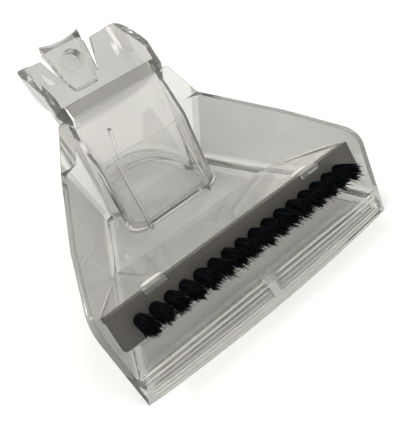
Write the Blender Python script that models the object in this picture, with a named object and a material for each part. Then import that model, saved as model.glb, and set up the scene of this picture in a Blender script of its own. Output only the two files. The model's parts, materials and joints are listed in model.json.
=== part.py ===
"""Clear upholstery nozzle for a wet vacuum cleaner, lying on its flat back with its open side up.

The body is one clear moulding: a flared tray whose floor is the roof of a shallow suction duct, a
ramp that carries the brush, a ribbed lip with two suction slots, and an inclined neck that ends in
a scooped collar with a latch tab. A flat cover closes the duct from below, and a gray holder with
one row of bristle tufts sits in the mouth.

Frame: X along the mouth, -Y towards the mouth, +Z up out of the open tray. While it is modelled,
the tray floor is z = 0 and the foot of the ramp is y = 0. Units are metres.
"""

import bmesh
import bpy
from math import cos, hypot, pi, radians, sin, tan
from mathutils import Vector

MM = 0.001

# Tray: inner half width at the foot of the ramp, how the side walls run, and the walls
FLOOR_HALF_WIDTH = 46.5 * MM
TAPER_FRONT = 0.43
TAPER_BACK = 0.53
WALL_FLARE = 0.36
WALL = 2.4 * MM
FLOOR_BACK_Y = 33.5 * MM
BACK_LEAN = 0.19
SHOULDER_SLOPE = 0.345
RIM_FRONT_Z = 26.4 * MM
RIM_BACK = (39.6 * MM, 31.9 * MM)
SHOULDER_TOP = (47.4 * MM, 48.4 * MM)
RIM_CORNER_RADIUS = 13.0 * MM

# Suction duct under the tray floor, and the cover that closes it
FLOOR_THICKNESS = 1.8 * MM
DUCT_HEIGHT = 4.4 * MM
COVER_THICKNESS = 1.5 * MM
COVER_LEDGE = 1.6 * MM
FIT_GAP = 0.3 * MM
BASE_Z = -(FLOOR_THICKNESS + DUCT_HEIGHT + COVER_THICKNESS + FIT_GAP)
DUCT_ROOF_Z = -FLOOR_THICKNESS
DUCT_BED_Z = DUCT_ROOF_Z - DUCT_HEIGHT

# Working face: the plane of the brush strip, from its top edge down to the lip
RAMP_RUN = 31.3 * MM
RAMP_RISE = 22.7 * MM
FACE_ANGLE = radians(52.5)
FRONT_EDGE_ANGLE = radians(59.0)
LIP_CORNER_Y = -53.9 * MM
LIP_TOP_Z = 1.65 * MM
LIP_LAND = 0.9 * MM
LIP_BOW = 2.7 * MM
RAMP_THICKNESS = 2.4 * MM

# Suction slots and ridges of the lip
SLOT_TOP_DROP = 1.2 * MM
SLOT_SILL = 0.6 * MM
SLOT_END_MARGIN = 2.4 * MM
BRIDGE_WIDTH = 4.4 * MM
VANE_THICKNESS = 0.7 * MM
VANE_DEPTH = 2.6 * MM
GROOVE_SHARES = (0.21, 0.58)
GROOVE_RADIUS = 0.62 * MM
LIP_DEPTH = 6.0 * MM

# Brush holder: a strip on the working face with one row of tufts, and its seat in the body
STRIP_END_GAP = 1.9 * MM
STRIP_END_DRAFT = 0.45
STRIP_HEIGHT = 15.6 * MM
STRIP_THICKNESS = 3.4 * MM
STRIP_CORNER_RADIUS = 2.2 * MM
NOTCH_CENTRE = 42.5 * MM
NOTCH_WIDTH = 11.3 * MM
NOTCH_DEPTH = 2.4 * MM
SEAT_TOP_DOWN = 10.5 * MM
SEAT_FOOT_DOWN = 14.0 * MM
SEAT_END_GAP = 3.2 * MM
LAND_HEIGHT = 1.2 * MM
LAND_END_GAP = 1.2 * MM
TUFT_COUNT = 16
TUFT_END_MARGIN = 11.6 * MM
TUFT_DROP = 8.4 * MM
TUFT_ROOT_RADIUS = 2.45 * MM
TUFT_TIP_RADIUS = 3.1 * MM
TUFT_LENGTH = 12.0 * MM
TUFT_SEAT_DEPTH = 2.2 * MM
TUFT_SIDES = 12

# Neck: its axis, its sections, and the collar that slides on the wand
NECK_ANGLE = radians(45.56)
NECK_WALL = 2.4 * MM
NEAR_WALL_N = 2.0 * MM
FAR_WALL_N = -25.4 * MM
FRONT_PANEL_Y = 12.4 * MM
CREASE_S = 43.8 * MM
NECK_BACK_Y = 67.5 * MM
NECK_HALF_WIDTH = 25.6 * MM
STEP_S = 73.4 * MM
COLLAR_END_S = 101.3 * MM
COLLAR_HALF_WIDTH = 28.3 * MM
COLLAR_BORE_HALF = 24.8 * MM
COLLAR_FOOT_Z = 50.5 * MM
FAR_WALL = 3.0 * MM
SOCKET_STEP = 0.4 * MM
COLLAR_LAP = 0.15 * MM
WING_RISE_S = 77.5 * MM
WING_TIP_N = -20.5 * MM
WING_BULGE = 1.8 * MM
FLOOR_HOLE = (21.6 * MM, 17.5 * MM, 55.6 * MM)
CENTRE_RIB = (1.6 * MM, 1.4 * MM)
FIN_CENTRE = 17.4 * MM
FIN_THICKNESS = 1.2 * MM
FIN_HEIGHT = 2.2 * MM

# Latch tab between two slots in the far wall of the collar
TAB_HALF_WIDTH = 10.2 * MM
TAB_LEAN = 0.12
TAB_TOP_S = 107.7 * MM
TAB_LIP_S = 100.7 * MM
TAB_PAD_FOOT_S = 80.0 * MM
TAB_FOOT_HALF = 5.8 * MM
TAB_DEPTH = 9.0 * MM
TAB_DRAFT = 0.9 * MM
TAB_SIDE_GAP = 0.25 * MM
TAB_SLOT_TOP_WIDTH = 4.0 * MM
TAB_SLOT_FOOT_WIDTH = 1.0 * MM
TAB_SLOT_FOOT_S = 86.3 * MM
TAB_END_SAGITTA = 1.8 * MM
CATCH_HOLE_S = 95.2 * MM
CATCH_HOLE_RADIUS = 5.6 * MM
CATCH_HOLE_FLOOR = 1.6 * MM

CORNER_STEPS = 6
REACH = 0.2

CLEAR = (0.74, 0.74, 0.72, 1.0)
GRAY = (0.105, 0.096, 0.086, 1.0)
BLACK = (0.004, 0.006, 0.009, 1.0)


def clear_scene():
    for obj in list(bpy.data.objects):
        bpy.data.objects.remove(obj, do_unlink=True)


def make_collection(name, hidden=False):
    collection = bpy.data.collections.new(name)
    bpy.context.scene.collection.children.link(collection)
    collection.hide_render = hidden
    return collection


def make_material(name, colour, roughness, transmission=0.0):
    material = bpy.data.materials.new(name)
    material.use_nodes = True
    shader = material.node_tree.nodes["Principled BSDF"]
    shader.inputs["Base Color"].default_value = colour
    shader.inputs["Roughness"].default_value = roughness
    shader.inputs["Metallic"].default_value = 0.0
    shader.inputs["Transmission Weight"].default_value = transmission
    material.diffuse_color = colour
    return material


def add_object(name, mesh_data, collection, material=None):
    """Turn a bmesh into a named object with its faces pointing out."""
    bmesh.ops.recalc_face_normals(mesh_data, faces=mesh_data.faces)
    mesh = bpy.data.meshes.new(name)
    mesh_data.to_mesh(mesh)
    mesh_data.free()
    obj = bpy.data.objects.new(name, mesh)
    collection.objects.link(obj)
    if material:
        mesh.materials.append(material)
    else:
        obj.hide_render = True
        obj.display_type = "WIRE"
    return obj


def prism(name, outline, sweep, collection, material=None):
    """A flat outline of 3-D points, extruded along one vector."""
    bm = bmesh.new()
    face = bm.faces.new([bm.verts.new(point) for point in outline])
    extruded = bmesh.ops.extrude_face_region(bm, geom=[face])
    verts = [item for item in extruded["geom"] if isinstance(item, bmesh.types.BMVert)]
    bmesh.ops.translate(bm, verts=verts, vec=sweep)
    return add_object(name, bm, collection, material)


def loft(name, rings, collection, material=None):
    """A closed solid through rings of equally many points, capped at both ends."""
    bm = bmesh.new()
    loops = [[bm.verts.new(point) for point in ring] for ring in rings]
    count = len(loops[0])
    for low, high in zip(loops, loops[1:]):
        for i in range(count):
            j = (i + 1) % count
            bm.faces.new((low[i], low[j], high[j], high[i]))
    bm.faces.new(loops[0])
    bm.faces.new(loops[-1])
    return add_object(name, bm, collection, material)


def boolean(target, tool, operation):
    modifier = target.modifiers.new(operation.title() + " " + tool.name, "BOOLEAN")
    modifier.operation = operation
    modifier.solver = "EXACT"
    modifier.object = tool


def cut(target, *tools):
    for tool in tools:
        boolean(target, tool, "DIFFERENCE")


def join(target, *tools):
    for tool in tools:
        boolean(target, tool, "UNION")


# Places on the object, from its own slanted planes

FACE_DOWN = Vector((0, -cos(FACE_ANGLE), -sin(FACE_ANGLE)))
FACE_OUT = Vector((0, -sin(FACE_ANGLE), cos(FACE_ANGLE)))
FACE_TOP = Vector((0, -RAMP_RUN, RAMP_RISE))
NECK_ALONG = Vector((0, cos(NECK_ANGLE), sin(NECK_ANGLE)))
NECK_OUT = Vector((0, -sin(NECK_ANGLE), cos(NECK_ANGLE)))


def on_face(x, down, out=0.0):
    """A point by its distance down the working face and out from it."""
    return Vector((x, 0, 0)) + FACE_TOP + FACE_DOWN * down + FACE_OUT * out


def on_neck(x, along, out):
    """A point by its distance along the neck's axis and out towards the near wall."""
    return Vector((x, 0, 0)) + NECK_ALONG * along + NECK_OUT * out


def wall_x(y, z, outer=False):
    """Half the tray's width at a place: the side walls taper in plan and flare upwards."""
    taper = TAPER_FRONT if y < 0 else TAPER_BACK
    return FLOOR_HALF_WIDTH - taper * y + WALL_FLARE * z + (WALL if outer else 0.0)


def back_y(z, inset=0.0):
    return FLOOR_BACK_Y + BACK_LEAN * z - inset


def mirrored(half):
    """Complete an outline that starts and ends near the plane x = 0."""
    return half + [Vector((-p.x, p.y, p.z)) for p in reversed(half) if abs(p.x) > 1e-9]


def tray_ring(z, y_front, outer):
    """The tray's plan at one height: front, bend at the ramp's foot, corner, and shoulder."""
    inset = 0.0 if outer else WALL
    corner = back_y(z, inset)
    half = [
        Vector((wall_x(y_front, z, outer), y_front, z)),
        Vector((wall_x(0, z, outer), 0, z)),
        Vector((wall_x(corner, z, outer), corner, z)),
        Vector((0, corner + SHOULDER_SLOPE * wall_x(corner, z, outer), z)),
    ]
    return mirrored(half)


def arc_points(centre, radii, start, stop, steps):
    """Points of an elliptic arc in a plane, as pairs."""
    angles = [start + (stop - start) * i / steps for i in range(steps + 1)]
    return [(centre[0] + radii[0] * cos(a), centre[1] + radii[1] * sin(a)) for a in angles]


def rounded_section(half_width, depth, near_radii, far_radii):
    """A rounded rectangle: x across, and depth from the near side (0) to the far side."""
    near_x = half_width - near_radii[0]
    far_x = half_width - far_radii[0]
    far_d = depth - far_radii[1]
    steps = CORNER_STEPS
    return (
        arc_points((near_x, near_radii[1]), near_radii, -pi / 2, 0, steps)
        + arc_points((far_x, far_d), far_radii, 0, pi / 2, steps)
        + arc_points((-far_x, far_d), far_radii, pi / 2, pi, steps)
        + arc_points((-near_x, near_radii[1]), near_radii, pi, 1.5 * pi, steps)
    )


def neck_ring(near, far, half_width, near_radii, far_radii):
    """A rounded section set between a near point and a far point of the side view."""
    near = Vector((0, *near))
    far = Vector((0, *far))
    depth = (far - near).length
    across = (far - near).normalized()
    section = rounded_section(half_width, depth, near_radii, far_radii)
    return [Vector((x, 0, 0)) + near + across * d for x, d in section]


def side(point):
    return (point.y, point.z)


def fillet(points, index, radius, steps=CORNER_STEPS):
    """Round one corner of a side-view outline and return the new outline."""
    before, corner, after = (Vector(points[i % len(points)]) for i in (index - 1, index, index + 1))
    to_before = (before - corner).normalized()
    to_after = (after - corner).normalized()
    half_angle = to_before.angle(to_after) / 2
    centre = corner + (to_before + to_after).normalized() * radius / sin(half_angle)
    start = corner + to_before * radius / tan(half_angle) - centre
    end = corner + to_after * radius / tan(half_angle) - centre
    arc = []
    for i in range(steps + 1):
        mix = start.lerp(end, i / steps)
        arc.append(tuple(centre + mix.normalized() * radius))
    return points[:index] + arc + points[index + 1:]


def side_prism(name, points, half_width, collection, material=None):
    """A side-view outline (y, z) swept from one side of the object to the other."""
    outline = [Vector((-half_width, y, z)) for y, z in points]
    return prism(name, outline, Vector((2 * half_width, 0, 0)), collection, material)


def tray_solid(guides):
    """The outside of the tray and duct, trimmed to the rim and the front edge."""
    high = 60 * MM
    low = BASE_Z - 2 * MM
    front = LIP_CORNER_Y - 20 * MM
    tray = loft("tray_outside", [tray_ring(z, front, True) for z in (low, high)], guides)
    drop = BASE_Z - low
    foot = (LIP_CORNER_Y - drop / tan(FRONT_EDGE_ANGLE), low)
    rim_slope = (RIM_BACK[1] - RIM_FRONT_Z) / (RIM_BACK[0] + RAMP_RUN)
    rise_z = RIM_BACK[1] - rim_slope * (RIM_BACK[0] - LIP_CORNER_Y)
    steep = tan(FRONT_EDGE_ANGLE)
    corner_y = LIP_CORNER_Y + (rise_z - BASE_Z) / (steep - rim_slope)
    corner = (corner_y, BASE_Z + steep * (corner_y - LIP_CORNER_Y))
    behind = SHOULDER_TOP[0] + 30 * MM
    outline = [foot, corner, RIM_BACK, SHOULDER_TOP, (behind, SHOULDER_TOP[1]), (behind, low)]
    keep = side_prism("rim_profile", fillet(outline, 1, RIM_CORNER_RADIUS), REACH, guides)
    boolean(tray, keep, "INTERSECT")
    return tray


def tray_hollow(guides):
    front = LIP_CORNER_Y - 40 * MM
    return loft("tray_hollow", [tray_ring(z, front, False) for z in (0, 80 * MM)], guides)


def ramp_web(guides):
    """The inclined web from the tray floor up to the brush strip, with its two clip tongues."""
    bite = WALL / 2
    back = -(STRIP_THICKNESS + FIT_GAP)
    top = on_face(0, 0, back)
    under = on_face(0, RAMP_THICKNESS, back)
    foot = Vector((0, 1.4 * MM, 0.0))
    foot_under = foot + Vector((0, 0, -FLOOR_THICKNESS / 2))
    low_half = wall_x(0, 0) + bite
    high_half = wall_x(top.y, top.z) + bite
    rings = [
        [Vector((low_half, *side(foot))), Vector((-low_half, *side(foot))),
         Vector((-low_half, *side(foot_under))), Vector((low_half, *side(foot_under)))],
        [Vector((high_half, *side(top))), Vector((-high_half, *side(top))),
         Vector((-high_half, *side(under))), Vector((high_half, *side(under)))],
    ]
    web = loft("ramp_web", rings, guides)
    tongues = []
    for sign in (-1, 1):
        half = NOTCH_WIDTH / 2 - FIT_GAP
        x = sign * NOTCH_CENTRE
        depth = NOTCH_DEPTH - FIT_GAP
        top = 0.1 * MM
        outline = [on_face(x - half, top, back), on_face(x - half, top, 0.0),
                   on_face(x - half, depth, 0.0), on_face(x - half, depth, back),
                   on_face(x - half, 1.6 * MM, back - 1 * MM), on_face(x - half, 0.9 * MM, back - 1 * MM)]
        tongues.append(prism("clip_tongue", outline, Vector((2 * half, 0, 0)), guides))
    return [web] + tongues


def front_edge_y(z):
    """Where the front edge of the side walls is, at one height."""
    return LIP_CORNER_Y + (z - BASE_Z) / tan(FRONT_EDGE_ANGLE)


def lip_front(share, z):
    """The lip's front at one height and at a share of its half length: it bows more lower down."""
    low = (LIP_TOP_Z - z) / (LIP_TOP_Z - BASE_Z)
    return front_edge_y(z) - 0.05 * MM - LIP_BOW * low * (1 - share ** 2)


def lip_levels():
    """Heights of the lip's rings from the base up, each with the depth of the groove there."""
    slot_top = DUCT_ROOF_Z - SLOT_TOP_DROP
    levels = [(BASE_Z - 1 * MM, 0.0)]
    for share_up in GROOVE_SHARES:
        middle = slot_top + (LIP_TOP_Z - slot_top) * share_up
        for turn in (-1.0, -0.6, 0.0, 0.6, 1.0):
            levels.append((middle + GROOVE_RADIUS * turn, GROOVE_RADIUS * (1 - turn ** 2)))
    levels.append((LIP_TOP_Z, 0.0))
    return levels


def lip_solid(guides):
    """The bowed lip across the front, with two grooves that leave ridges beside the bridge."""
    steps = 20
    half_length = wall_x(LIP_CORNER_Y, BASE_Z)
    edges = [BRIDGE_WIDTH / 2 / half_length, 1 - 1.2 * MM / half_length]
    edges += [edge + 0.3 * MM / half_length for edge in edges]
    shares = [2 * i / steps - 1 for i in range(steps + 1)]
    shares = sorted(shares + edges + [-edge for edge in edges])
    rings = []
    for z, groove in lip_levels():
        half = wall_x(front_edge_y(z), z) + WALL / 2
        front = []
        for share in shares:
            grooved = edges[0] < abs(share) < edges[3]
            front.append(Vector((half * share, lip_front(share, z) + (groove if grooved else 0.0), z)))
        rings.append(front + [Vector((half, lip_land_back(), z)), Vector((-half, lip_land_back(), z))])
    return loft("lip_bar", rings, guides)


def lip_land_back():
    """The back of the lip's flat top."""
    return front_edge_y(LIP_TOP_Z) + LIP_LAND


def strip_seat(guides):
    """The low land in front of the ramp, and the rib on it that carries the strip's lower back."""
    sunk = -FLOOR_THICKNESS / 2
    back = -(STRIP_THICKNESS + FIT_GAP)
    top, foot = on_face(0, SEAT_TOP_DOWN, back), on_face(0, SEAT_FOOT_DOWN, back)
    half = wall_x(top.y, 0) - SEAT_END_GAP
    rib = side_prism(
        "strip_rib", [(top.y, sunk), side(top), side(foot), (foot.y, sunk)], half, guides)
    rear, front = top.y - 0.4 * MM, lip_land_back() - LIP_LAND / 2
    ends = [(wall_x(y, 0) - LAND_END_GAP, y) for y in (rear, front)]
    outline = ends + [(-x, y) for x, y in reversed(ends)]
    return plan_prism("front_land", outline, sunk - 0.2 * MM, LAND_HEIGHT, guides), rib


def duct_outline(inset, y_front):
    """Plan of the duct: the tray's taper, then round the neck's foot at the back."""
    corner = FLOOR_BACK_Y * 0.8
    half_width = NECK_HALF_WIDTH - inset
    foot_middle = (FRONT_PANEL_Y + NECK_BACK_Y) / 2 - 8 * MM
    depth = NECK_BACK_Y - inset - foot_middle
    arc = arc_points((0, foot_middle), (half_width, depth), 0, pi / 2, 10)
    slope = wall_x(0, BASE_Z, True) - inset
    half = [(wall_x(y_front, BASE_Z, True) - inset, y_front), (slope, 0.0)]
    half.append((max(wall_x(corner, BASE_Z, True) - inset, half_width), corner))
    half += arc[1:] if half[-1][0] > half_width + 0.5 * MM else arc[2:]
    return half + [(-x, y) for x, y in reversed(half) if x > 1e-6]


def plan_prism(name, outline, z_low, z_high, collection, material=None):
    points = [Vector((x, y, z_low)) for x, y in outline]
    return prism(name, points, Vector((0, 0, z_high - z_low)), collection, material)


def duct_front():
    return front_edge_y(DUCT_ROOF_Z) + LIP_DEPTH


def duct_cutters(guides):
    inset = WALL + COVER_LEDGE
    duct = plan_prism(
        "duct_space", duct_outline(inset, duct_front()), DUCT_BED_Z - 1 * MM, DUCT_ROOF_Z, guides)
    rebate = plan_prism(
        "cover_rebate", duct_outline(WALL, duct_front() - COVER_LEDGE), BASE_Z - 8 * MM, DUCT_BED_Z, guides)
    return duct, rebate


def slot_cutters(guides):
    """A long slot from the lip into the duct on each side of the bridge, split by a thin vane."""
    cutters = []
    top = DUCT_ROOF_Z - SLOT_TOP_DROP
    sill = DUCT_BED_Z + SLOT_SILL
    vane = (top + sill) / 2
    front = LIP_CORNER_Y - LIP_BOW - 4 * MM
    behind_vane = front_edge_y(vane) + VANE_DEPTH
    back = duct_front() + 3 * MM
    front_end = wall_x(front, BASE_Z) - SLOT_END_MARGIN
    back_end = wall_x(back, BASE_Z, True) - WALL - COVER_LEDGE - 0.2 * MM
    profile = [
        (front, sill), (front, vane - VANE_THICKNESS / 2),
        (behind_vane, vane - VANE_THICKNESS / 2), (behind_vane, vane + VANE_THICKNESS / 2),
        (front, vane + VANE_THICKNESS / 2), (front, top), (back, top), (back, sill),
    ]
    for sign in (-1, 1):
        near = [Vector((sign * BRIDGE_WIDTH / 2, y, z)) for y, z in profile]
        far = []
        for y, z in profile:
            end = front_end + (back_end - front_end) * (y - front) / (back - front)
            far.append(Vector((sign * end, y, z)))
        cutters.append(loft("suction_slot", [near, far], guides))
    return cutters


def crease(inset=0.0):
    """Where the near wall bends into the steep front panel, in the side view."""
    top = on_neck(0, CREASE_S, NEAR_WALL_N)
    foot = Vector((0, FRONT_PANEL_Y, 0))
    if not inset:
        return top
    panel = (top - foot).normalized()
    inward = Vector((0, panel.z, -panel.y))
    start = foot + inward * inset
    gap = NEAR_WALL_N - inset - start.dot(NECK_OUT)
    return start + panel * gap / panel.dot(NECK_OUT)


def neck_solid(guides, inset=0.0):
    """The neck, lofted from its foot on the duct up to the collar's section."""
    near_r = 5.0 * MM - inset
    crease_point = crease(inset)
    foot_near = FRONT_PANEL_Y + inset * 1.12
    back = NECK_BACK_Y - inset * 1.15
    half = NECK_HALF_WIDTH - inset
    foot_far_radii = (half, (back - foot_near) * 0.62)
    foot_near_radii = (near_r + 2 * MM, near_r + 2 * MM)
    foot = [neck_ring((foot_near, z), (back, z), half, foot_near_radii, foot_far_radii)
            for z in ((BASE_Z - 3 * MM, 0) if not inset else (0,))]
    bend_back = (NECK_BACK_Y + 2.6 * MM - inset, 20 * MM)
    bend = neck_ring(side(crease_point), bend_back, half, (near_r, near_r), (half * 0.8, half * 0.85))
    far_inset = inset and FAR_WALL + SOCKET_STEP
    rings = foot + [bend]
    far_radius = 12.0 * MM - inset
    for along in (STEP_S - 3 * MM, STEP_S + 1 * MM if inset else COLLAR_END_S - 4 * MM):
        near = on_neck(0, along, NEAR_WALL_N - inset)
        far = on_neck(0, along, FAR_WALL_N + far_inset)
        rings.append(neck_ring(side(near), side(far), half, (near_r, near_r), (far_radius, far_radius)))
    return loft("neck_hollow" if inset else "neck_outside", rings, guides)


def neck_level(z, out):
    """The side-view point of a wall of the straight neck at one height."""
    return ((z * cos(NECK_ANGLE) - out) / sin(NECK_ANGLE), z)


def collar_solid(guides):
    """The wider collar round the neck's end; its foot is level with the tray."""
    rings = []
    near_r = 3.0 * MM
    far_r = 12.0 * MM
    for z, half in ((COLLAR_FOOT_Z - 4.5 * MM, NECK_HALF_WIDTH - 0.6 * MM), (COLLAR_FOOT_Z, COLLAR_HALF_WIDTH)):
        near = neck_level(z, NEAR_WALL_N - COLLAR_LAP)
        far = neck_level(z, FAR_WALL_N - COLLAR_LAP)
        stretch = 1 / sin(NECK_ANGLE)
        rings.append(neck_ring(near, far, half, (near_r, near_r), (far_r, far_r * stretch)))
    near = on_neck(0, COLLAR_END_S, NEAR_WALL_N - COLLAR_LAP)
    far = on_neck(0, COLLAR_END_S, FAR_WALL_N - COLLAR_LAP)
    rings.append(neck_ring(side(near), side(far), COLLAR_HALF_WIDTH, (near_r, near_r), (far_r, far_r)))
    return loft("collar_outside", rings, guides)


def collar_hollow(guides):
    """The socket beyond the step: full width inside, and open on the near side."""
    rings = []
    for along in (STEP_S, COLLAR_END_S + 10 * MM):
        near = on_neck(0, along, NEAR_WALL_N + 12 * MM)
        far = on_neck(0, along, FAR_WALL_N + FAR_WALL)
        rings.append(neck_ring(side(near), side(far), COLLAR_BORE_HALF, (1 * MM, 1 * MM), (9 * MM, 9 * MM)))
    return loft("collar_socket", rings, guides)


def wing_trim(guides):
    """Removes what lies above the curved top edge of the two wings."""
    start = Vector((WING_RISE_S, NEAR_WALL_N + 0.8 * MM))
    tip = Vector((COLLAR_END_S + 0.7 * MM, WING_TIP_N))
    chord = tip - start
    bulge_side = Vector((-chord.y, chord.x)).normalized()
    steps = 12
    edge = []
    for i in range(steps + 1):
        t = i / steps
        edge.append(start + chord * t + bulge_side * 4 * WING_BULGE * t * (1 - t))
    far = tip + Vector((12 * MM, -8 * MM))
    outline = [(p.x, p.y) for p in edge] + [tuple(far), (far.x, 30 * MM), (start.x, 30 * MM)]
    points = [on_neck(-REACH / 2, s, n) for s, n in outline]
    return prism("wing_trim", points, Vector((REACH, 0, 0)), guides)


def tab_edge(s):
    """Half the tab's width at a distance along the neck."""
    return TAB_HALF_WIDTH - (COLLAR_END_S - s) * TAB_LEAN


def tab_slots(guides):
    """A tapering slot on each side of the tab, closed by a round end."""
    slots = []
    foot = TAB_SLOT_FOOT_S
    top = COLLAR_END_S + 14 * MM
    spread = (TAB_SLOT_TOP_WIDTH - TAB_SLOT_FOOT_WIDTH) / (COLLAR_END_S - foot)
    for sign in (-1, 1):
        inner, outer = tab_edge(foot), tab_edge(foot) + TAB_SLOT_FOOT_WIDTH
        middle, radius = (inner + outer) / 2, TAB_SLOT_FOOT_WIDTH / 2
        outline = [(tab_edge(top), top), (inner, foot)]
        outline += [(middle - radius * cos(a), foot - radius * sin(a)) for a in (pi * i / 6 for i in range(1, 6))]
        outline += [(outer, foot), (tab_edge(top) + TAB_SLOT_FOOT_WIDTH + spread * (top - foot), top)]
        points = [on_neck(sign * x, s, FAR_WALL_N - 5 * MM) for x, s in outline]
        slots.append(prism("tab_slot", points, NECK_OUT * 10 * MM, guides))
    return slots


def latch_tab(guides):
    """The thick latch tab with its flared thumb end, lofted along the neck, and its catch hole."""
    inner = FAR_WALL_N + FAR_WALL
    outer = inner - TAB_DEPTH
    sunk = inner - 0.8 * MM
    foot, knee, lip = TAB_PAD_FOOT_S, TAB_SLOT_FOOT_S + 1.7 * MM, TAB_LIP_S + 2.2 * MM
    side_lines = [
        [(foot, sunk, TAB_FOOT_HALF), (foot + 1.4 * MM, inner - TAB_DEPTH * 0.4, TAB_FOOT_HALF - 0.1 * MM),
         (foot + 3.5 * MM, outer, TAB_FOOT_HALF - 0.2 * MM)],
    ]
    for near, middle, far in (
        ((knee, sunk), (knee + 0.4 * MM, inner - TAB_DEPTH * 0.4), (knee + 1.0 * MM, outer)),
        ((lip, sunk - 0.1 * MM), (lip, inner - TAB_DEPTH * 0.4), (lip - 0.3 * MM, outer)),
        ((TAB_TOP_S, inner - 0.6 * MM), (TAB_TOP_S - 0.5 * MM, inner - TAB_DEPTH * 0.4),
         (TAB_TOP_S - 2.2 * MM, outer - 0.3 * MM)),
    ):
        line = []
        for share, (s, n) in zip((0.0, 0.4, 1.0), (near, middle, far)):
            line.append((s, n, tab_edge(s) - TAB_SIDE_GAP - share * TAB_DRAFT))
        side_lines.append(line)
    rings = []
    for line in side_lines:
        ring = [on_neck(x, s, n) for s, n, x in line]
        rings.append(ring + [on_neck(-x, s, n) for s, n, x in reversed(line)])
    tab = loft("latch_tab", rings, guides)

    chord = tab_edge(TAB_TOP_S)
    radius = (chord ** 2 + TAB_END_SAGITTA ** 2) / (2 * TAB_END_SAGITTA)
    bm = bmesh.new()
    bmesh.ops.create_cone(bm, cap_ends=True, segments=72, radius1=radius, radius2=radius, depth=40 * MM)
    scoop = add_object("tab_end_scoop", bm, guides)
    scoop.rotation_euler = (NECK_ANGLE, 0, 0)
    scoop.location = on_neck(0, TAB_TOP_S - TAB_END_SAGITTA + radius, outer)
    cut(tab, scoop)

    depth = TAB_DEPTH - CATCH_HOLE_FLOOR
    bm = bmesh.new()
    bmesh.ops.create_cone(
        bm, cap_ends=True, segments=32, radius1=CATCH_HOLE_RADIUS, radius2=CATCH_HOLE_RADIUS, depth=2 * depth)
    catch_hole = add_object("catch_hole", bm, guides)
    catch_hole.rotation_euler = (NECK_ANGLE, 0, 0)
    catch_hole.location = on_neck(0, CATCH_HOLE_S, inner)
    return tab, catch_hole


def floor_hole(guides):
    """The arched opening from the neck down into the duct."""
    half, front, back = FLOOR_HOLE
    middle = front + (back - front) * 0.36
    far = arc_points((0, middle), (half, back - middle), 0, pi, 24)
    near_r = 6.0 * MM
    near = arc_points((-half + near_r, front + near_r), (near_r, near_r), pi, 1.5 * pi, 4)
    near += arc_points((half - near_r, front + near_r), (near_r, near_r), 1.5 * pi, 2 * pi, 4)
    return plan_prism("floor_hole", far + near, DUCT_ROOF_Z - 1 * MM, 1 * MM, guides)


def fins(guides):
    """Two thin fins down the steep front panel of the neck."""
    top = crease()
    foot = Vector((0, FRONT_PANEL_Y, 0))
    panel = (top - foot).normalized()
    inward = Vector((0, panel.z, -panel.y))
    sunk = 1.0 * MM
    made = []
    for sign in (-1, 1):
        x = sign * FIN_CENTRE - FIN_THICKNESS / 2
        outline = [
            top + inward * sunk - panel * 2 * MM,
            foot + inward * sunk - panel * 1 * MM,
            foot - inward * FIN_HEIGHT - panel * 1 * MM,
            foot - inward * FIN_HEIGHT + panel * 2 * MM,
            top - inward * FIN_HEIGHT * 0.3 - panel * 3 * MM,
        ]
        points = [Vector((x, p.y, p.z)) for p in outline]
        made.append(prism("panel_fin", points, Vector((FIN_THICKNESS, 0, 0)), guides))
    return made


def centre_rib(guides):
    """A low rib down the middle of the neck's far wall."""
    thick, high = CENTRE_RIB
    back = NECK_BACK_Y - NECK_WALL * 1.15
    outline = [
        (back + 0.8 * MM, -0.6 * MM), (back - high, -0.6 * MM),
        (back + 1.6 * MM - high, 18 * MM), (back + 3.4 * MM, 18 * MM),
    ]
    points = [Vector((-thick / 2, y, z)) for y, z in outline]
    return prism("centre_rib", points, Vector((thick, 0, 0)), guides)


def build_body(parts, guides, material):
    """The clear moulding, from its tray, neck and lip."""
    tray = tray_solid(guides)
    bm = bmesh.new()
    bmesh.ops.create_cube(bm, size=2 * REACH)
    below = add_object("below_base", bm, guides)
    below.location = (0, 0, BASE_Z - REACH)
    tab, catch_hole = latch_tab(guides)

    cut(tray, tray_hollow(guides))
    join(tray, lip_solid(guides), *ramp_web(guides), *strip_seat(guides))
    join(tray, neck_solid(guides), collar_solid(guides))
    cut(tray, neck_solid(guides, NECK_WALL), collar_hollow(guides), wing_trim(guides))
    cut(tray, *tab_slots(guides))
    join(tray, tab)
    cut(tray, catch_hole)
    cut(tray, *duct_cutters(guides))
    cut(tray, *slot_cutters(guides))
    cut(tray, floor_hole(guides), below)
    join(tray, *fins(guides), centre_rib(guides))

    guides.objects.unlink(tray)
    parts.objects.link(tray)
    tray.name = "nozzle_body"
    tray.hide_render = False
    tray.display_type = "TEXTURED"
    tray.data.materials.append(material)
    return tray


def build_cover(parts, material):
    """The flat clear plate that closes the duct, set in its rebate."""
    outline = duct_outline(WALL + FIT_GAP, duct_front() - COVER_LEDGE + FIT_GAP)
    return plan_prism("back_cover", outline, BASE_Z, BASE_Z + COVER_THICKNESS, parts, material)


def strip_half_length():
    return wall_x(FACE_TOP.y, FACE_TOP.z) - STRIP_END_GAP


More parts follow.
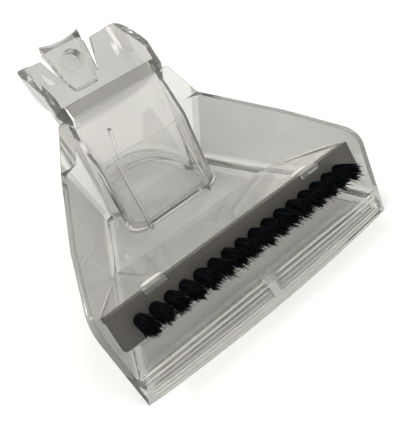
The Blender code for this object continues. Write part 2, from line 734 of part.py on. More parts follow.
def build_holder(parts, guides, material):
    """The gray holder: a strip with rounded lower corners and two clip notches."""
    radius = STRIP_CORNER_RADIUS
    front_half = strip_half_length()
    rings = []
    for depth in (STRIP_THICKNESS, 0.0):
        half = front_half - depth * STRIP_END_DRAFT
        corner = (half - radius, STRIP_HEIGHT - radius)
        outline = [(-half, 0.0), (half, 0.0)]
        outline += arc_points(corner, (radius, radius), 0, pi / 2, 4)
        outline += [(-x, down) for x, down in reversed(arc_points(corner, (radius, radius), 0, pi / 2, 4))]
        rings.append([on_face(x, down, -depth) for x, down in outline])
    holder = loft("brush_holder", rings, parts, material)

    for sign in (-1, 1):
        x = sign * NOTCH_CENTRE - NOTCH_WIDTH / 2
        points = [on_face(x, -2 * MM, -STRIP_THICKNESS - 1 * MM), on_face(x, -2 * MM, 1 * MM),
                  on_face(x, NOTCH_DEPTH, 1 * MM), on_face(x, NOTCH_DEPTH, -STRIP_THICKNESS - 1 * MM)]
        cut(holder, prism("clip_notch", points, Vector((NOTCH_WIDTH, 0, 0)), guides))
    return holder


def tuft_mesh(name, root_radius, tip_radius, length, domed):
    """A bundle of bristles along +Z from z = 0, a little wider at its tip."""
    bm = bmesh.new()
    bmesh.ops.create_cone(
        bm, cap_ends=True, segments=TUFT_SIDES, radius1=root_radius, radius2=tip_radius, depth=length)
    bmesh.ops.translate(bm, verts=bm.verts, vec=(0, 0, length / 2))
    if domed:
        tip = [face for face in bm.faces if face.calc_center_median().z > length * 0.99]
        inset = bmesh.ops.inset_region(bm, faces=tip, thickness=tip_radius * 0.4, depth=0)
        centre_verts = {vert for face in tip for vert in face.verts}
        bmesh.ops.translate(bm, verts=list(centre_verts), vec=(0, 0, 0.7 * MM))
        del inset
    bmesh.ops.recalc_face_normals(bm, faces=bm.faces)
    mesh = bpy.data.meshes.new(name)
    bm.to_mesh(mesh)
    bm.free()
    return mesh


def build_tufts(parts, guides, holder, material):
    """One row of tufts, each seated in its own blind hole in the strip."""
    tilt = (FACE_ANGLE, 0, 0)
    pitch = 2 * (strip_half_length() - TUFT_END_MARGIN) / (TUFT_COUNT - 1)
    seat_mesh = tuft_mesh(
        "tuft_seat", TUFT_ROOT_RADIUS + FIT_GAP, TUFT_ROOT_RADIUS + FIT_GAP, 10 * MM, False)
    mesh = tuft_mesh(
        "bristle_tuft", TUFT_ROOT_RADIUS, TUFT_TIP_RADIUS, TUFT_LENGTH + TUFT_SEAT_DEPTH, True)
    mesh.materials.append(material)
    for i in range(TUFT_COUNT):
        x = (i - (TUFT_COUNT - 1) / 2) * pitch
        seat = bpy.data.objects.new("tuft_seat", seat_mesh)
        guides.objects.link(seat)
        seat.hide_render = True
        seat.display_type = "WIRE"
        seat.location = on_face(x, TUFT_DROP, -TUFT_SEAT_DEPTH - FIT_GAP)
        seat.rotation_euler = tilt
        cut(holder, seat)
        tuft = bpy.data.objects.new(f"bristle_tuft_{i + 1:02d}", mesh)
        parts.objects.link(tuft)
        tuft.location = on_face(x, TUFT_DROP, -TUFT_SEAT_DEPTH)
        tuft.rotation_euler = tilt


def stand_on_base(parts):
    """Move the whole object so that its origin is the middle of its base."""
    depsgraph = bpy.context.evaluated_depsgraph_get()
    corners = []
    for obj in parts.objects:
        evaluated = obj.evaluated_get(depsgraph)
        corners += [evaluated.matrix_world @ vert.co for vert in evaluated.data.vertices]
    low = Vector((min(c.x for c in corners), min(c.y for c in corners), min(c.z for c in corners)))
    high = Vector((max(c.x for c in corners), max(c.y for c in corners), max(c.z for c in corners)))
    return Vector((-(low.x + high.x) / 2, -(low.y + high.y) / 2, -low.z))


def main():
    clear_scene()
    parts = make_collection("upholstery_nozzle")
    guides = make_collection("cutters", hidden=True)
    clear = make_material("clear_plastic", CLEAR, 0.12, 0.9)
    gray = make_material("gray_plastic", GRAY, 0.45)
    black = make_material("black_bristle", BLACK, 0.5)

    build_body(parts, guides, clear)
    build_cover(parts, clear)
    holder = build_holder(parts, guides, gray)
    build_tufts(parts, guides, holder, black)

    bpy.context.view_layer.update()
    shift = stand_on_base(parts)
    for collection in (parts, guides):
        for obj in collection.objects:
            obj.location += shift
    bpy.context.view_layer.update()
    for obj in parts.objects:
        obj.data.shade_smooth()
        obj.data.set_sharp_from_angle(angle=radians(30))


main()
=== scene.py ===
"""The look of the clear upholstery nozzle: clear and gray plastic, nylon bristles, soft studio light."""

import json
import math
import random

import bmesh
import bpy
from mathutils import Matrix, Vector

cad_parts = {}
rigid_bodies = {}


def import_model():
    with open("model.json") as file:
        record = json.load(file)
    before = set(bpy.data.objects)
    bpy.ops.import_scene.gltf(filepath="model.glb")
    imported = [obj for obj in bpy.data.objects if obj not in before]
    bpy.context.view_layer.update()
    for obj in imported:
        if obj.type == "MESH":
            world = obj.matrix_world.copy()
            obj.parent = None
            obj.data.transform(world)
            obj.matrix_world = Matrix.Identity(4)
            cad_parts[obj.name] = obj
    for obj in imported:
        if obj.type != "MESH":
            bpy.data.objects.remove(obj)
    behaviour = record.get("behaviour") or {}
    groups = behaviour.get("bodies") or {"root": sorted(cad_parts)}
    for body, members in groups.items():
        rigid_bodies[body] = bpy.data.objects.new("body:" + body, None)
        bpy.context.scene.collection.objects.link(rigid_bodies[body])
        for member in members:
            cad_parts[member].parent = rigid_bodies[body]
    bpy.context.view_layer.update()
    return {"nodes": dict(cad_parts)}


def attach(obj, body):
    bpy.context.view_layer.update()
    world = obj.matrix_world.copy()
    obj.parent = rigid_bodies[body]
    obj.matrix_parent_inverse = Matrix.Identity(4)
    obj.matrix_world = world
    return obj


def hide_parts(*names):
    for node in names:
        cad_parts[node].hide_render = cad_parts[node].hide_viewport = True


def clean_start():
    for obj in list(bpy.data.objects):
        bpy.data.objects.remove(obj, do_unlink=True)


clean_start()
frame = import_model()
NODES = frame["nodes"]


# Sizes in millimetres in the part's own frame, where the tray floor's top is at height 0

MM = 0.001
BODY_SHIFT = Vector((0, -19.9252, 8.0))
FLOOR_HALF_WIDTH = 46.5
WALL = 2.4
TAPER_FRONT, TAPER_BACK = 0.43, 0.53
WALL_FLARE = 0.36
LIP_BASE_Z, LIP_TOP_Z = -8.0, 1.65
LIP_CORNER_Y, LIP_BOW = -53.9, 2.7
FRONT_ANGLE = math.radians(59.0)
BRIDGE_HALF = 2.6
RAMP_RUN = 31.3
RIM_FRONT_Z = 26.4
RIM_BACK_Y, RIM_BACK_Z = 39.6, 31.9
RIM_CORNER_RADIUS = 13.0
NECK_ANGLE = math.radians(45.56)
NECK_CREASE = Vector((0, 29.24, 32.67))
NECK_PANEL_FOOT = Vector((0, 12.4, 0))
ARCH_CENTRE_Y, ARCH_HALF_WIDTH, ARCH_DEPTH = 31.2, 21.5, 24.3

ACROSS = Vector((1, 0, 0))
UP = Vector((0, 0, 1))


def place(x, y, z):
    """A point of the part's own frame, in the scene."""
    return (Vector((x, y, z)) + BODY_SHIFT) * MM


def wall_x(y, z):
    """The inner face of a side wall, from the middle."""
    return FLOOR_HALF_WIDTH - (TAPER_FRONT if y < 0 else TAPER_BACK) * y + WALL_FLARE * z


# Shader building blocks

def new_material(name):
    material = bpy.data.materials.new(name)
    material.use_nodes = True
    tree = material.node_tree
    return material, tree, tree.nodes["Principled BSDF"]


def noise(tree, scale, detail):
    coord = tree.nodes.new("ShaderNodeTexCoord")
    node = tree.nodes.new("ShaderNodeTexNoise")
    node.inputs["Scale"].default_value = scale
    node.inputs["Detail"].default_value = detail
    tree.links.new(coord.outputs["Object"], node.inputs["Vector"])
    return node.outputs["Fac"]


def ramp(tree, source, stops):
    node = tree.nodes.new("ShaderNodeValToRGB")
    elements = node.color_ramp.elements
    while len(elements) > 1:
        elements.remove(elements[-1])
    for i, (position, colour) in enumerate(stops):
        element = elements[0] if i == 0 else elements.new(position)
        element.position = position
        element.color = (*colour, 1.0)
    tree.links.new(source, node.inputs["Fac"])
    return node.outputs["Color"]


def gray_ramp(tree, source, low, high):
    """A value between low and high, for roughness."""
    return ramp(tree, source, [(0.35, (low,) * 3), (0.75, (high,) * 3)])


def bump(tree, shader, source, strength, edge_radius):
    """Fine relief, over edges that are rounded for the light by a small radius."""
    edge = tree.nodes.new("ShaderNodeBevel")
    edge.samples = 6
    edge.inputs["Radius"].default_value = edge_radius
    node = tree.nodes.new("ShaderNodeBump")
    node.inputs["Strength"].default_value = strength
    node.inputs["Distance"].default_value = 0.4 * MM
    tree.links.new(source, node.inputs["Height"])
    tree.links.new(edge.outputs["Normal"], node.inputs["Normal"])
    tree.links.new(node.outputs["Normal"], shader.inputs["Normal"])


def math_node(tree, operation, first, second=None):
    """A Math node; its inputs may be numbers or sockets."""
    node = tree.nodes.new("ShaderNodeMath")
    node.operation = operation
    for socket, value in zip(node.inputs, (first, second)):
        if isinstance(value, (int, float)):
            socket.default_value = value
        elif value is not None:
            tree.links.new(value, socket)
    return node.outputs[0]


def step_up(tree, source, low, high):
    """0 below the first length in millimetres, 1 above the second, with a smooth step between them."""
    node = tree.nodes.new("ShaderNodeMapRange")
    node.interpolation_type = "SMOOTHSTEP"
    node.inputs["From Min"].default_value = low * MM
    node.inputs["From Max"].default_value = high * MM
    tree.links.new(source, node.inputs["Value"])
    return node.outputs["Result"]


# Where the clear plastic has the stronger of its two tints, in millimetres; a fit to the photograph's tones

TINT_INTO_WALL = (-0.7, -0.1)
TINT_ABOVE_FLOOR = (0.5, 3.0)
TINT_ALONG_NECK = (66.04, 68.54)
TINT_ENDS_ACROSS = (24.5, 27.2)


def grayer_parts(tree):
    """1 in the side walls and in the collar with its tab, and 0 elsewhere."""
    def calc(operation, first, second=None):
        return math_node(tree, operation, first, second)

    coord = tree.nodes.new("ShaderNodeTexCoord")
    axes = tree.nodes.new("ShaderNodeSeparateXYZ")
    tree.links.new(coord.outputs["Object"], axes.inputs["Vector"])
    across = calc("ABSOLUTE", axes.outputs["X"])
    y = calc("SUBTRACT", axes.outputs["Y"], BODY_SHIFT.y * MM)
    z = calc("SUBTRACT", axes.outputs["Z"], BODY_SHIFT.z * MM)

    taper = calc("MAXIMUM", calc("MULTIPLY", y, TAPER_FRONT), calc("MULTIPLY", y, TAPER_BACK))
    straight = calc("SUBTRACT", calc("ADD", across, taper), calc("MULTIPLY", z, WALL_FLARE))
    wall = step_up(tree, straight, *(FLOOR_HALF_WIDTH + limit for limit in TINT_INTO_WALL))
    wall = calc("MULTIPLY", wall, step_up(tree, z, *TINT_ABOVE_FLOOR))

    along_y = calc("MULTIPLY", y, math.cos(NECK_ANGLE))
    along_neck = calc("ADD", along_y, calc("MULTIPLY", z, math.sin(NECK_ANGLE)))
    flat, side = TINT_ENDS_ACROSS
    middle = step_up(tree, calc("MULTIPLY", across, -1.0), -side, -flat)
    collar = calc("MULTIPLY", step_up(tree, along_neck, *TINT_ALONG_NECK), middle)
    return calc("MAXIMUM", wall, collar)


# Materials

CLEAR_IOR = 1.52


def clear_plastic():
    """Clear moulded plastic with a warm gray tint, stronger in the walls and collar, with soft edges."""
    material, tree, shader = new_material("clear_plastic_look")
    tint = noise(tree, 30.0, 2.0)
    faint = ramp(tree, tint, [(0.3, (0.825, 0.82, 0.795)), (0.7, (0.865, 0.86, 0.835))])
    gray = ramp(tree, tint, [(0.3, (0.50, 0.493, 0.468)), (0.7, (0.56, 0.553, 0.527))])
    colour = tree.nodes.new("ShaderNodeMixRGB")
    tree.links.new(grayer_parts(tree), colour.inputs["Fac"])
    tree.links.new(faint, colour.inputs["Color1"])
    tree.links.new(gray, colour.inputs["Color2"])
    tree.links.new(colour.outputs["Color"], shader.inputs["Base Color"])
    shader.inputs["Transmission Weight"].default_value = 0.91
    shader.inputs["IOR"].default_value = CLEAR_IOR
    tree.links.new(gray_ramp(tree, noise(tree, 55.0, 3.0), 0.01, 0.05), shader.inputs["Roughness"])
    bump(tree, shader, noise(tree, 38.0, 1.5), 0.1, 0.22 * MM)
    return material


def edge_plastic(name, low, high, transmission):
    """The same clear plastic on thin rounded edges, made less see-through; in its near-white form it is a painted
    highlight along them.
    """
    material, tree, shader = new_material(name)
    colour = ramp(tree, noise(tree, 45.0, 2.0), [(0.3, low), (0.7, high)])
    tree.links.new(colour, shader.inputs["Base Color"])
    shader.inputs["Transmission Weight"].default_value = transmission
    shader.inputs["IOR"].default_value = CLEAR_IOR
    tree.links.new(gray_ramp(tree, noise(tree, 120.0, 3.0), 0.08, 0.22), shader.inputs["Roughness"])
    return material


def gray_plastic():
    """Warm dark gray moulded plastic with a fine satin grain."""
    material, tree, shader = new_material("gray_plastic_look")
    colour = ramp(tree, noise(tree, 60.0, 4.0), [(0.3, (0.081, 0.075, 0.067)), (0.7, (0.098, 0.091, 0.081))])
    tree.links.new(colour, shader.inputs["Base Color"])
    shader.inputs["Roughness"].default_value = 0.42
    bump(tree, shader, noise(tree, 900.0, 3.0), 0.15, 0.3 * MM)
    return material


def bristle_black():
    """Blue-black nylon with a soft sheen along each filament."""
    material, tree, shader = new_material("bristle_look")
    patch = noise(tree, 400.0, 2.0)
    colour = ramp(tree, patch, [(0.3, (0.001, 0.0016, 0.0024)), (0.75, (0.002, 0.003, 0.0045))])
    tree.links.new(colour, shader.inputs["Base Color"])
    shader.inputs["Roughness"].default_value = 0.45
    shader.inputs["Specular IOR Level"].default_value = 0.06
    return material


def assign(obj, material):
    obj.data.materials.clear()
    obj.data.materials.append(material)


CLEAR = clear_plastic()
# Near-white cream colour for the rounded-edge beads: painted highlights and glints along them.
PAINTED_HIGHLIGHT = edge_plastic("clear_edge_painted_highlight", (0.92, 0.90, 0.83), (0.98, 0.96, 0.89), 0.35)
RIM = edge_plastic("clear_rim_look", (0.46, 0.452, 0.428), (0.53, 0.52, 0.493), 0.4)
GRAY = gray_plastic()
BLACK = bristle_black()
for name, node in NODES.items():
    if name in ("nozzle_body", "back_cover"):
        assign(node, CLEAR)
    elif name == "brush_holder":
        assign(node, GRAY)
    else:
        assign(node, BLACK)


# Mesh building blocks

def circle(count):
    """The cosine and sine of each of count even turns."""
    turns = [2 * math.pi * m / count for m in range(count)]
    return [(math.cos(turn), math.sin(turn)) for turn in turns]


def skin(bm, rings, smooth=True):
    """Join rings of vertices into a closed tube."""
    count = len(rings[0])
    for low, high in zip(rings, rings[1:]):
        for m in range(count):
            n = (m + 1) % count
            face = bm.faces.new((low[m], low[n], high[n], high[m]))
            face.smooth = smooth
    bm.faces.new(rings[-1])
    bm.faces.new(list(reversed(rings[0])))


def bead(bm, points, radius, across, outs, flat=0.75):
    """A thin tube along points, elliptic in section, with its ends drawn in.

    The ellipse's second direction is outs: one vector for the whole tube, or a list with one for each point.
    """
    if isinstance(outs, Vector):
        outs = [outs] * len(points)
    rings = []
    last = len(points) - 1
    for k, (point, out) in enumerate(zip(points, outs)):
        size = radius * MM * (0.25 if k in (0, last) else 0.8 if k in (1, last - 1) else 1.0)
        rings.append([bm.verts.new(point + across * size * c + out * size * flat * s) for c, s in circle(10)])
    skin(bm, rings)


def new_object(name, bm):
    mesh = bpy.data.meshes.new(name)
    bm.to_mesh(mesh)
    bm.free()
    obj = bpy.data.objects.new(name, mesh)
    bpy.context.scene.collection.objects.link(obj)
    return obj


def finish_piece(name, bm, material):
    """A small piece of the clear moulding, from its mesh."""
    bmesh.ops.recalc_face_normals(bm, faces=bm.faces)
    piece = new_object(name, bm)
    assign(piece, material)
    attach(piece, "root")
    return piece


# Bristles: each tuft is a bundle of crimped filaments that fray at their tips

FACE_ANGLE = math.radians(52.5)
BRISTLE_OUT = Vector((0, -math.sin(FACE_ANGLE), math.cos(FACE_ANGLE)))
FACE_DOWN = Vector((0, -math.cos(FACE_ANGLE), -math.sin(FACE_ANGLE)))
FILAMENTS = 150
FILAMENT_RADIUS = 0.2 * MM
FILAMENT_SIDES = 5
FILAMENT_RINGS = 7
GOLDEN_TURN = 2.39996
STRAY_SHARE = 0.22
HEART_SIDES = 14
HEART_LEVELS = (0.0, 0.3, 0.6, 0.84)
DROOP = 1.5 * MM


def tuft_frame(node):
    """A tuft's root centre, root and tip radii and length, from its CAD solid."""
    points = [v.co for v in node.data.vertices]
    depths = [p.dot(BRISTLE_OUT) for p in points]
    low, high = min(depths), max(depths)
    root = [p for p, d in zip(points, depths) if d < low + 0.05 * MM]
    rim = [p for p, d in zip(points, depths) if high - 1.2 * MM < d]
    centre = sum(root, Vector()) / len(root)
    root_radius = max((p - centre).length for p in root)
    tip_radius = max(((p - centre) - BRISTLE_OUT * (p - centre).dot(BRISTLE_OUT)).length for p in rim)
    return centre, root_radius, tip_radius, high - low


def add_filament(bm, centres, radius):
    rings = []
    for k, centre in enumerate(centres):
        ahead = centres[min(k + 1, len(centres) - 1)] - centres[max(k - 1, 0)]
        ahead.normalize()
        first = ahead.cross(ACROSS).normalized()
        second = ahead.cross(first)
        taper = radius * (1.0 if k < len(centres) - 1 else 0.55)
        rings.append([bm.verts.new(centre + (first * c + second * s) * taper) for c, s in circle(FILAMENT_SIDES)])
    skin(bm, rings)


def add_heart(bm, centre, root_radius, tip_radius, length, rng):
    """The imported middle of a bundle, which no light passes through; its end is uneven."""
    rings = []
    for t in HEART_LEVELS:
        ring = []
        for c, s in circle(HEART_SIDES):
            radius = (root_radius * (1 - t) + tip_radius * t) * rng.uniform(0.82, 0.9)
            reach = length * (t + (rng.uniform(-0.05, 0.04) if t == HEART_LEVELS[-1] else 0.0))
            side = ACROSS * radius * c + FACE_DOWN * (radius * s + DROOP * t ** 2)
            ring.append(bm.verts.new(centre + BRISTLE_OUT * reach + side))
        rings.append(ring)
    skin(bm, rings, smooth=False)


def make_tuft(name, node, rng):
    centre, root_radius, tip_radius, length = tuft_frame(node)
    bm = bmesh.new()
    add_heart(bm, centre, root_radius, tip_radius, length, rng)
    lean = rng.uniform(-0.35, 0.35) * MM
    for k in range(FILAMENTS):
        share = math.sqrt((k + 0.5) / FILAMENTS)
        turn = k * GOLDEN_TURN + rng.uniform(-0.25, 0.25)
        stray = rng.random() < STRAY_SHARE
        reach = length * (rng.uniform(0.88, 1.05) - 0.05 * share ** 2)
        spread = tip_radius * share * rng.uniform(1.02, 1.32)
        if stray:
            spread += rng.uniform(0.2, 1.1) * MM
            reach += rng.uniform(0.2, 0.9) * MM
        crimp = rng.uniform(0.04, 0.16) * MM
        phase = rng.uniform(0, 2 * math.pi)
        waves = rng.uniform(1.6, 2.6)
        wander = Vector((rng.gauss(0, 0.4), rng.gauss(0, 0.4))) * MM
        centres = []
        for r in range(FILAMENT_RINGS):
            t = r / (FILAMENT_RINGS - 1)
            radius = root_radius * 0.97 * share * (1 - t) + spread * t
            wave = phase + waves * 2 * math.pi * t
            side = Vector((math.cos(turn), math.sin(turn))) * radius + wander * t ** 2
            side.x += lean * t ** 1.5 + crimp * math.sin(wave) * t
            side.y += DROOP * t ** 2 + crimp * math.cos(wave) * t
            centres.append(centre + BRISTLE_OUT * reach * t + ACROSS * side.x + FACE_DOWN * side.y)
        add_filament(bm, centres, FILAMENT_RADIUS * rng.uniform(0.85, 1.1))
    tuft = new_object(name, bm)
    assign(tuft, BLACK)
    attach(tuft, "root")
    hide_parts(node.name)
    return tuft


random_source = random.Random(1417)
for name in sorted(NODES):
    if name.startswith("bristle_tuft_"):
        make_tuft(name.replace("tuft", "bundle"), NODES[name], random_source)


# Fine rounded edges of the clear moulding: lip, walls, rims, neck and clips, in millimetres as above; all but the
# rims are near-white, painted highlights

RIDGES = ((1.0, 0.62), (-0.85, 0.55), (-2.35, 0.22), (-3.95, 0.22), (-4.85, 0.36), (-6.2, 0.45), (-7.5, 0.42))
RIDGE_END_GAP = 2.2
FLOOR_FILLET_ENDS = (0.6, 8.0, 16.0, 24.0, 30.5)
FILLET_INSET = 0.25
RAMP_FILLET_START, RAMP_FILLET_STEP = (0.4, 0.6), (-5.68, 4.08)
RAMP_ALONG, RAMP_OUT = Vector((0, 0.824, -0.566)), Vector((0, 0.566, 0.824))
RIM_FOOT_Z, RIM_FOOT_RUN = 3.5, 17.0
RIM_TOP_RUN = 58.0
RIM_HALF_WIDTH, RIM_FLAT = 1.22, 0.22
PANEL_HALF = 17.0
FIN_X = 17.4
CORNER_CENTRE, CORNER_RADIUS = (18.6, 19.4), 7.2
CORNER_BACK_Y = (27.0, 23.0)
ARCH_BEADS = ((0.1, 0.42), (-1.75, 0.32))
CLIP_PLACE = (41.5, -26.3, 19.05)
CLIP_HALF_LENGTH, CLIP_HALF_DEPTH = 5.2, 1.5
CLIP_LEVELS = ((-0.2, 1.0), (0.25, 0.93), (0.5, 0.72), (0.62, 0.4))


def lip_half(z):
    """Half the lip's width at a height."""
    return wall_x(lip_edge_y(z), z) + WALL / 2


def lip_edge_y(z):
    """The straight front edge's place at a height."""
    return LIP_CORNER_Y + (z - LIP_BASE_Z) / math.tan(FRONT_ANGLE)


def lip_point(share, z):
    """A point on the bowed front of the lip, by its share of the half width."""
    low = (LIP_TOP_Z - z) / (LIP_TOP_Z - LIP_BASE_Z)
    return place(lip_half(z) * share, lip_edge_y(z) - 0.05 - LIP_BOW * low * (1 - share ** 2), z)


def make_lip_ridges():
    bm = bmesh.new()
    up = Vector((0, math.cos(FRONT_ANGLE), math.sin(FRONT_ANGLE)))
    out = Vector((0, -math.sin(FRONT_ANGLE), math.cos(FRONT_ANGLE)))
    for z, radius in RIDGES:
        first, last = BRIDGE_HALF / lip_half(z), 1 - RIDGE_END_GAP / lip_half(z)
        for side in (-1, 1):
            shares = [side * (first + (last - first) * k / 24) for k in range(25)]
            bead(bm, [lip_point(share, z) + out * 0.1 * MM for share in shares], radius, up, out)
    return finish_piece("lip_ridges", bm, PAINTED_HIGHLIGHT)


def make_wall_fillets():
    """Rounded joints between the side walls and the tray floor, and up the sides of the ramp."""
    bm = bmesh.new()
    (start_y, start_z), (step_y, step_z) = RAMP_FILLET_START, RAMP_FILLET_STEP
    up_ramp = [(start_y + step_y * k, start_z + step_z * k) for k in range(6)]
    for side in (-1, 1):
        inward = Vector((-side, 0, 0))
        points = [place(side * (wall_x(y, 0) - FILLET_INSET), y, 0.25) for y in FLOOR_FILLET_ENDS]
        bead(bm, points, 0.95, inward, UP, 1.0)
        points = [place(side * (wall_x(y, z) - FILLET_INSET), y, z + 0.1) for y, z in up_ramp]
        bead(bm, points, 0.45, inward, RAMP_OUT, 1.0)
    return finish_piece("wall_fillets", bm, PAINTED_HIGHLIGHT)


def rim_profile():
    """The rim from the side: each place (y, z) on it, and the angle of its outward direction."""
    slope = (RIM_BACK_Z - RIM_FRONT_Z) / (RIM_BACK_Y + RAMP_RUN)
    steep = math.tan(FRONT_ANGLE)
    over_lip = RIM_BACK_Z - slope * (RIM_BACK_Y - LIP_CORNER_Y)
    corner_y = LIP_CORNER_Y + (over_lip - LIP_BASE_Z) / (steep - slope)
    corner_z = LIP_BASE_Z + steep * (corner_y - LIP_CORNER_Y)
    turn = FRONT_ANGLE - math.atan(slope)
    trim = RIM_CORNER_RADIUS * math.tan(turn / 2)
    front = math.pi / 2 + FRONT_ANGLE
    centre_y = corner_y - trim * math.cos(FRONT_ANGLE) - RIM_CORNER_RADIUS * math.cos(front)
    centre_z = corner_z - trim * math.sin(FRONT_ANGLE) - RIM_CORNER_RADIUS * math.sin(front)

    profile = []
    for k in range(8):
        z = RIM_FOOT_Z + RIM_FOOT_RUN * k / 8
        profile.append((lip_edge_y(z), z, front))
    for k in range(11):
        angle = front - turn * k / 10
        profile.append((centre_y + RIM_CORNER_RADIUS * math.cos(angle),
                        centre_z + RIM_CORNER_RADIUS * math.sin(angle), angle))
    end_y, end_z, angle = profile[-1]
    for k in range(1, 11):
        run = RIM_TOP_RUN * k / 10
        profile.append((end_y + run, end_z + slope * run, angle))
    return profile


def make_rim_edges():
    """The softly rounded top edges of the side walls, from the lip's corners to the shoulders."""
    bm = bmesh.new()
    profile = rim_profile()
    outs = [Vector((0, math.cos(angle), math.sin(angle))) for y, z, angle in profile]
    for side in (-1, 1):
        points = [place(side * (wall_x(y, z) + WALL / 2), y, z) for y, z, angle in profile]
        bead(bm, points, RIM_HALF_WIDTH, ACROSS, outs, RIM_FLAT)
    return finish_piece("rim_edges", bm, RIM)


def add_panel_edges(bm, panel, outward):
    """The crease above the neck's front panel, and the panel's foot."""
    level = [PANEL_HALF * (k / 4 - 1) for k in range(9)]
    points = [place(x, NECK_CREASE.y, NECK_CREASE.z) + outward * 0.1 * MM for x in level]
    bead(bm, points, 0.17, panel, outward)
    points = [place(x, NECK_PANEL_FOOT.y, 0.35) + outward * 0.15 * MM for x in level]
    bead(bm, points, 0.32, UP, Vector((0, -1, 0)), 1.0)


def add_fin(bm, side, panel, outward):
    top = NECK_CREASE + outward * 0.66 - panel * 3.0
    low = NECK_PANEL_FOOT + outward * 2.2 + panel * 2.0
    points = [place(side * FIN_X, 0, 0) + top.lerp(low, k / 6) * MM for k in range(7)]
    bead(bm, points, 0.3, ACROSS, outward, 1.0)


def add_neck_corner(bm, side):
    """The foot of the neck where it turns from its front to its side."""
    x, y = CORNER_CENTRE
    plan = [(x + CORNER_RADIUS, back_y) for back_y in CORNER_BACK_Y]
    for k in range(9):
        turn = math.radians(90 * k / 8)
        plan.append((x + CORNER_RADIUS * math.cos(turn), y - CORNER_RADIUS * math.sin(turn)))
    points = [place(side * across, back, 0.6) for across, back in plan]
    bead(bm, points, 0.95, UP, Vector((side * 0.707, -0.707, 0)), 0.8)


def make_neck_edges():
    """Rounded edges of the neck: its crease, fins, foot and corners, and the arched opening in its floor."""
    bm = bmesh.new()
    panel = (NECK_CREASE - NECK_PANEL_FOOT).normalized()
    outward = Vector((0, -panel.z, panel.y))
    add_panel_edges(bm, panel, outward)
    for side in (-1, 1):
        add_fin(bm, side, panel, outward)
        add_neck_corner(bm, side)
    for z, radius in ARCH_BEADS:
        turns = [math.pi * (0.05 + 0.9 * k / 26) for k in range(27)]
        points = [place(ARCH_HALF_WIDTH * math.cos(turn), ARCH_CENTRE_Y + ARCH_DEPTH * math.sin(turn), z)
                  for turn in turns]
        bead(bm, points, radius, UP, Vector((0, 1, 0)), 1.0)
    return finish_piece("neck_edges", bm, PAINTED_HIGHLIGHT)


def make_clip_pads():
    """Low domed pads on the ramp just above the two clips that hold the strip, near-white as a painted highlight.
    """
    bm = bmesh.new()
    x, y, z = CLIP_PLACE
    for side in (-1, 1):
        centre = place(side * x, y, z)
        rings = []
        for height, size in CLIP_LEVELS:
            ring = []
            for c, s in circle(20):
                long = ACROSS * math.copysign(abs(c) ** 0.6, c) * CLIP_HALF_LENGTH
                ring.append(bm.verts.new(
                    centre + (long * size + RAMP_ALONG * s * CLIP_HALF_DEPTH * size + RAMP_OUT * height) * MM))
            rings.append(ring)
        skin(bm, rings)
    return finish_piece("clip_pads", bm, PAINTED_HIGHLIGHT)


make_lip_ridges()
make_wall_fillets()
make_rim_edges()
make_neck_edges()
make_clip_pads()


# Stage: floor, world and lights

FLOOR_COLOUR = (0.62, 0.616, 0.605, 1.0)
FLOOR_HALF_SIZE = 3.0
FLOOR_GAP = 0.2 * MM
WHITE_ADDED, WHITE_FAR = 0.42, 0.68
WHITE_RISES = (0.3, 1.6)
WORLD_LIGHT = 0.55


def sees_background(tree):
    """1 for rays that see the background straight, by a reflection or through the plastic."""
    light_path = tree.nodes.new("ShaderNodeLightPath")
    seen = light_path.outputs["Is Camera Ray"]
    for kind in ("Is Glossy Ray", "Is Transmission Ray"):
        seen = math_node(tree, "MAXIMUM", seen, light_path.outputs[kind])
    return seen


def added_white(tree):
    """White for the floor that rises a little with the distance from the object."""
    coord = tree.nodes.new("ShaderNodeTexCoord")
    distance = tree.nodes.new("ShaderNodeVectorMath")
    distance.operation = "LENGTH"
    tree.links.new(coord.outputs["Object"], distance.inputs[0])
    level = tree.nodes.new("ShaderNodeMapRange")
    level.inputs["From Min"].default_value, level.inputs["From Max"].default_value = WHITE_RISES
    level.inputs["To Min"].default_value = WHITE_ADDED
    level.inputs["To Max"].default_value = WHITE_FAR
    tree.links.new(distance.outputs["Value"], level.inputs["Value"])
    white = tree.nodes.new("ShaderNodeEmission")
    tree.links.new(level.outputs["Result"], white.inputs["Strength"])
    return white.outputs["Emission"]


def floor_material():
    """A pale floor with white added where it is seen; it keeps the object's shadow."""
    material, tree, shader = new_material("floor_white")
    shader.inputs["Base Color"].default_value = FLOOR_COLOUR
    shader.inputs["Roughness"].default_value = 0.9
    shader.inputs["Specular IOR Level"].default_value = 0.1
    add = tree.nodes.new("ShaderNodeAddShader")
    mix = tree.nodes.new("ShaderNodeMixShader")
    tree.links.new(shader.outputs["BSDF"], add.inputs[0])
    tree.links.new(added_white(tree), add.inputs[1])
    tree.links.new(sees_background(tree), mix.inputs["Fac"])
    tree.links.new(shader.outputs["BSDF"], mix.inputs[1])
    tree.links.new(add.outputs["Shader"], mix.inputs[2])
    tree.links.new(mix.outputs["Shader"], tree.nodes["Material Output"].inputs["Surface"])
    return material


def make_floor():
    bm = bmesh.new()
    bmesh.ops.create_grid(bm, x_segments=1, y_segments=1, size=FLOOR_HALF_SIZE)
    floor = new_object("floor", bm)
    floor.location = (0, 0, -FLOOR_GAP)
    assign(floor, floor_material())


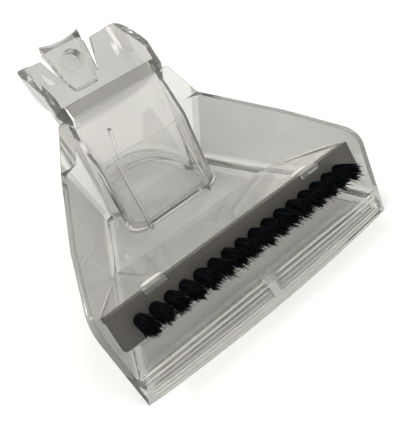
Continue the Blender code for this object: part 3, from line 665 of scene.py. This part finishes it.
def area_light(name, location, target, size, power, colour=(1.0, 1.0, 1.0)):
    """A rectangular lamp at a place in metres, turned to its target."""
    data = bpy.data.lights.new(name, "AREA")
    data.shape = "RECTANGLE"
    data.size, data.size_y = size
    data.energy = power
    data.color = colour
    light = bpy.data.objects.new(name, data)
    bpy.context.scene.collection.objects.link(light)
    light.location = location
    light.rotation_mode = "QUATERNION"
    light.rotation_quaternion = (Vector(target) - Vector(location)).to_track_quat("-Z", "Y")


def make_world():
    """A soft even sky that gives light at WORLD_LIGHT, and is white where it is seen."""
    world = bpy.data.worlds.new("studio")
    world.use_nodes = True
    tree = world.node_tree
    background = tree.nodes["Background"]
    background.inputs["Color"].default_value = (1.0, 1.0, 1.0, 1.0)
    level = tree.nodes.new("ShaderNodeMapRange")
    level.inputs["To Min"].default_value = WORLD_LIGHT
    level.inputs["To Max"].default_value = 1.0
    tree.links.new(sees_background(tree), level.inputs["Value"])
    tree.links.new(level.outputs["Result"], background.inputs["Strength"])
    bpy.context.scene.world = world


# Camera, fitted to the photograph, whose image is 416 by 432 pixels

FOCAL_PIXELS = 580.0
IMAGE_HEIGHT = 432.0
SENSOR = 36.0
CAMERA_PLACE = Vector((-0.09475, -0.17751, 0.20610))
CAMERA_RIGHT = Vector((0.75554, -0.64357, -0.12238))
CAMERA_UP = Vector((0.54079, 0.50729, 0.67097))


def make_camera():
    data = bpy.data.cameras.new("camera")
    data.sensor_width = SENSOR
    data.lens = FOCAL_PIXELS * SENSOR / IMAGE_HEIGHT
    data.clip_start = 0.01
    data.clip_end = 10.0
    camera = bpy.data.objects.new("camera", data)
    bpy.context.scene.collection.objects.link(camera)
    right = CAMERA_RIGHT.normalized()
    back = right.cross(CAMERA_UP).normalized()
    up = back.cross(right)
    turn = Matrix((right, up, back)).transposed()
    camera.matrix_world = Matrix.Translation(CAMERA_PLACE) @ turn.to_4x4()
    bpy.context.scene.camera = camera


make_floor()
make_world()
area_light("key", (-0.12, 0.34, 0.78), (0, 0, 0.02), (0.2, 0.2), 2.4)
area_light("window", (-0.75, 0.1, 0.42), (0, 0, 0.03), (0.22, 0.34), 1.6, (1.0, 0.95, 0.84))
area_light("tube", (0.40, -0.12, 0.78), (0, -0.06, 0.02), (0.07, 0.9), 2.6, (1.0, 0.985, 0.95))
make_camera()

bpy.context.scene.view_settings.view_transform = "Standard"
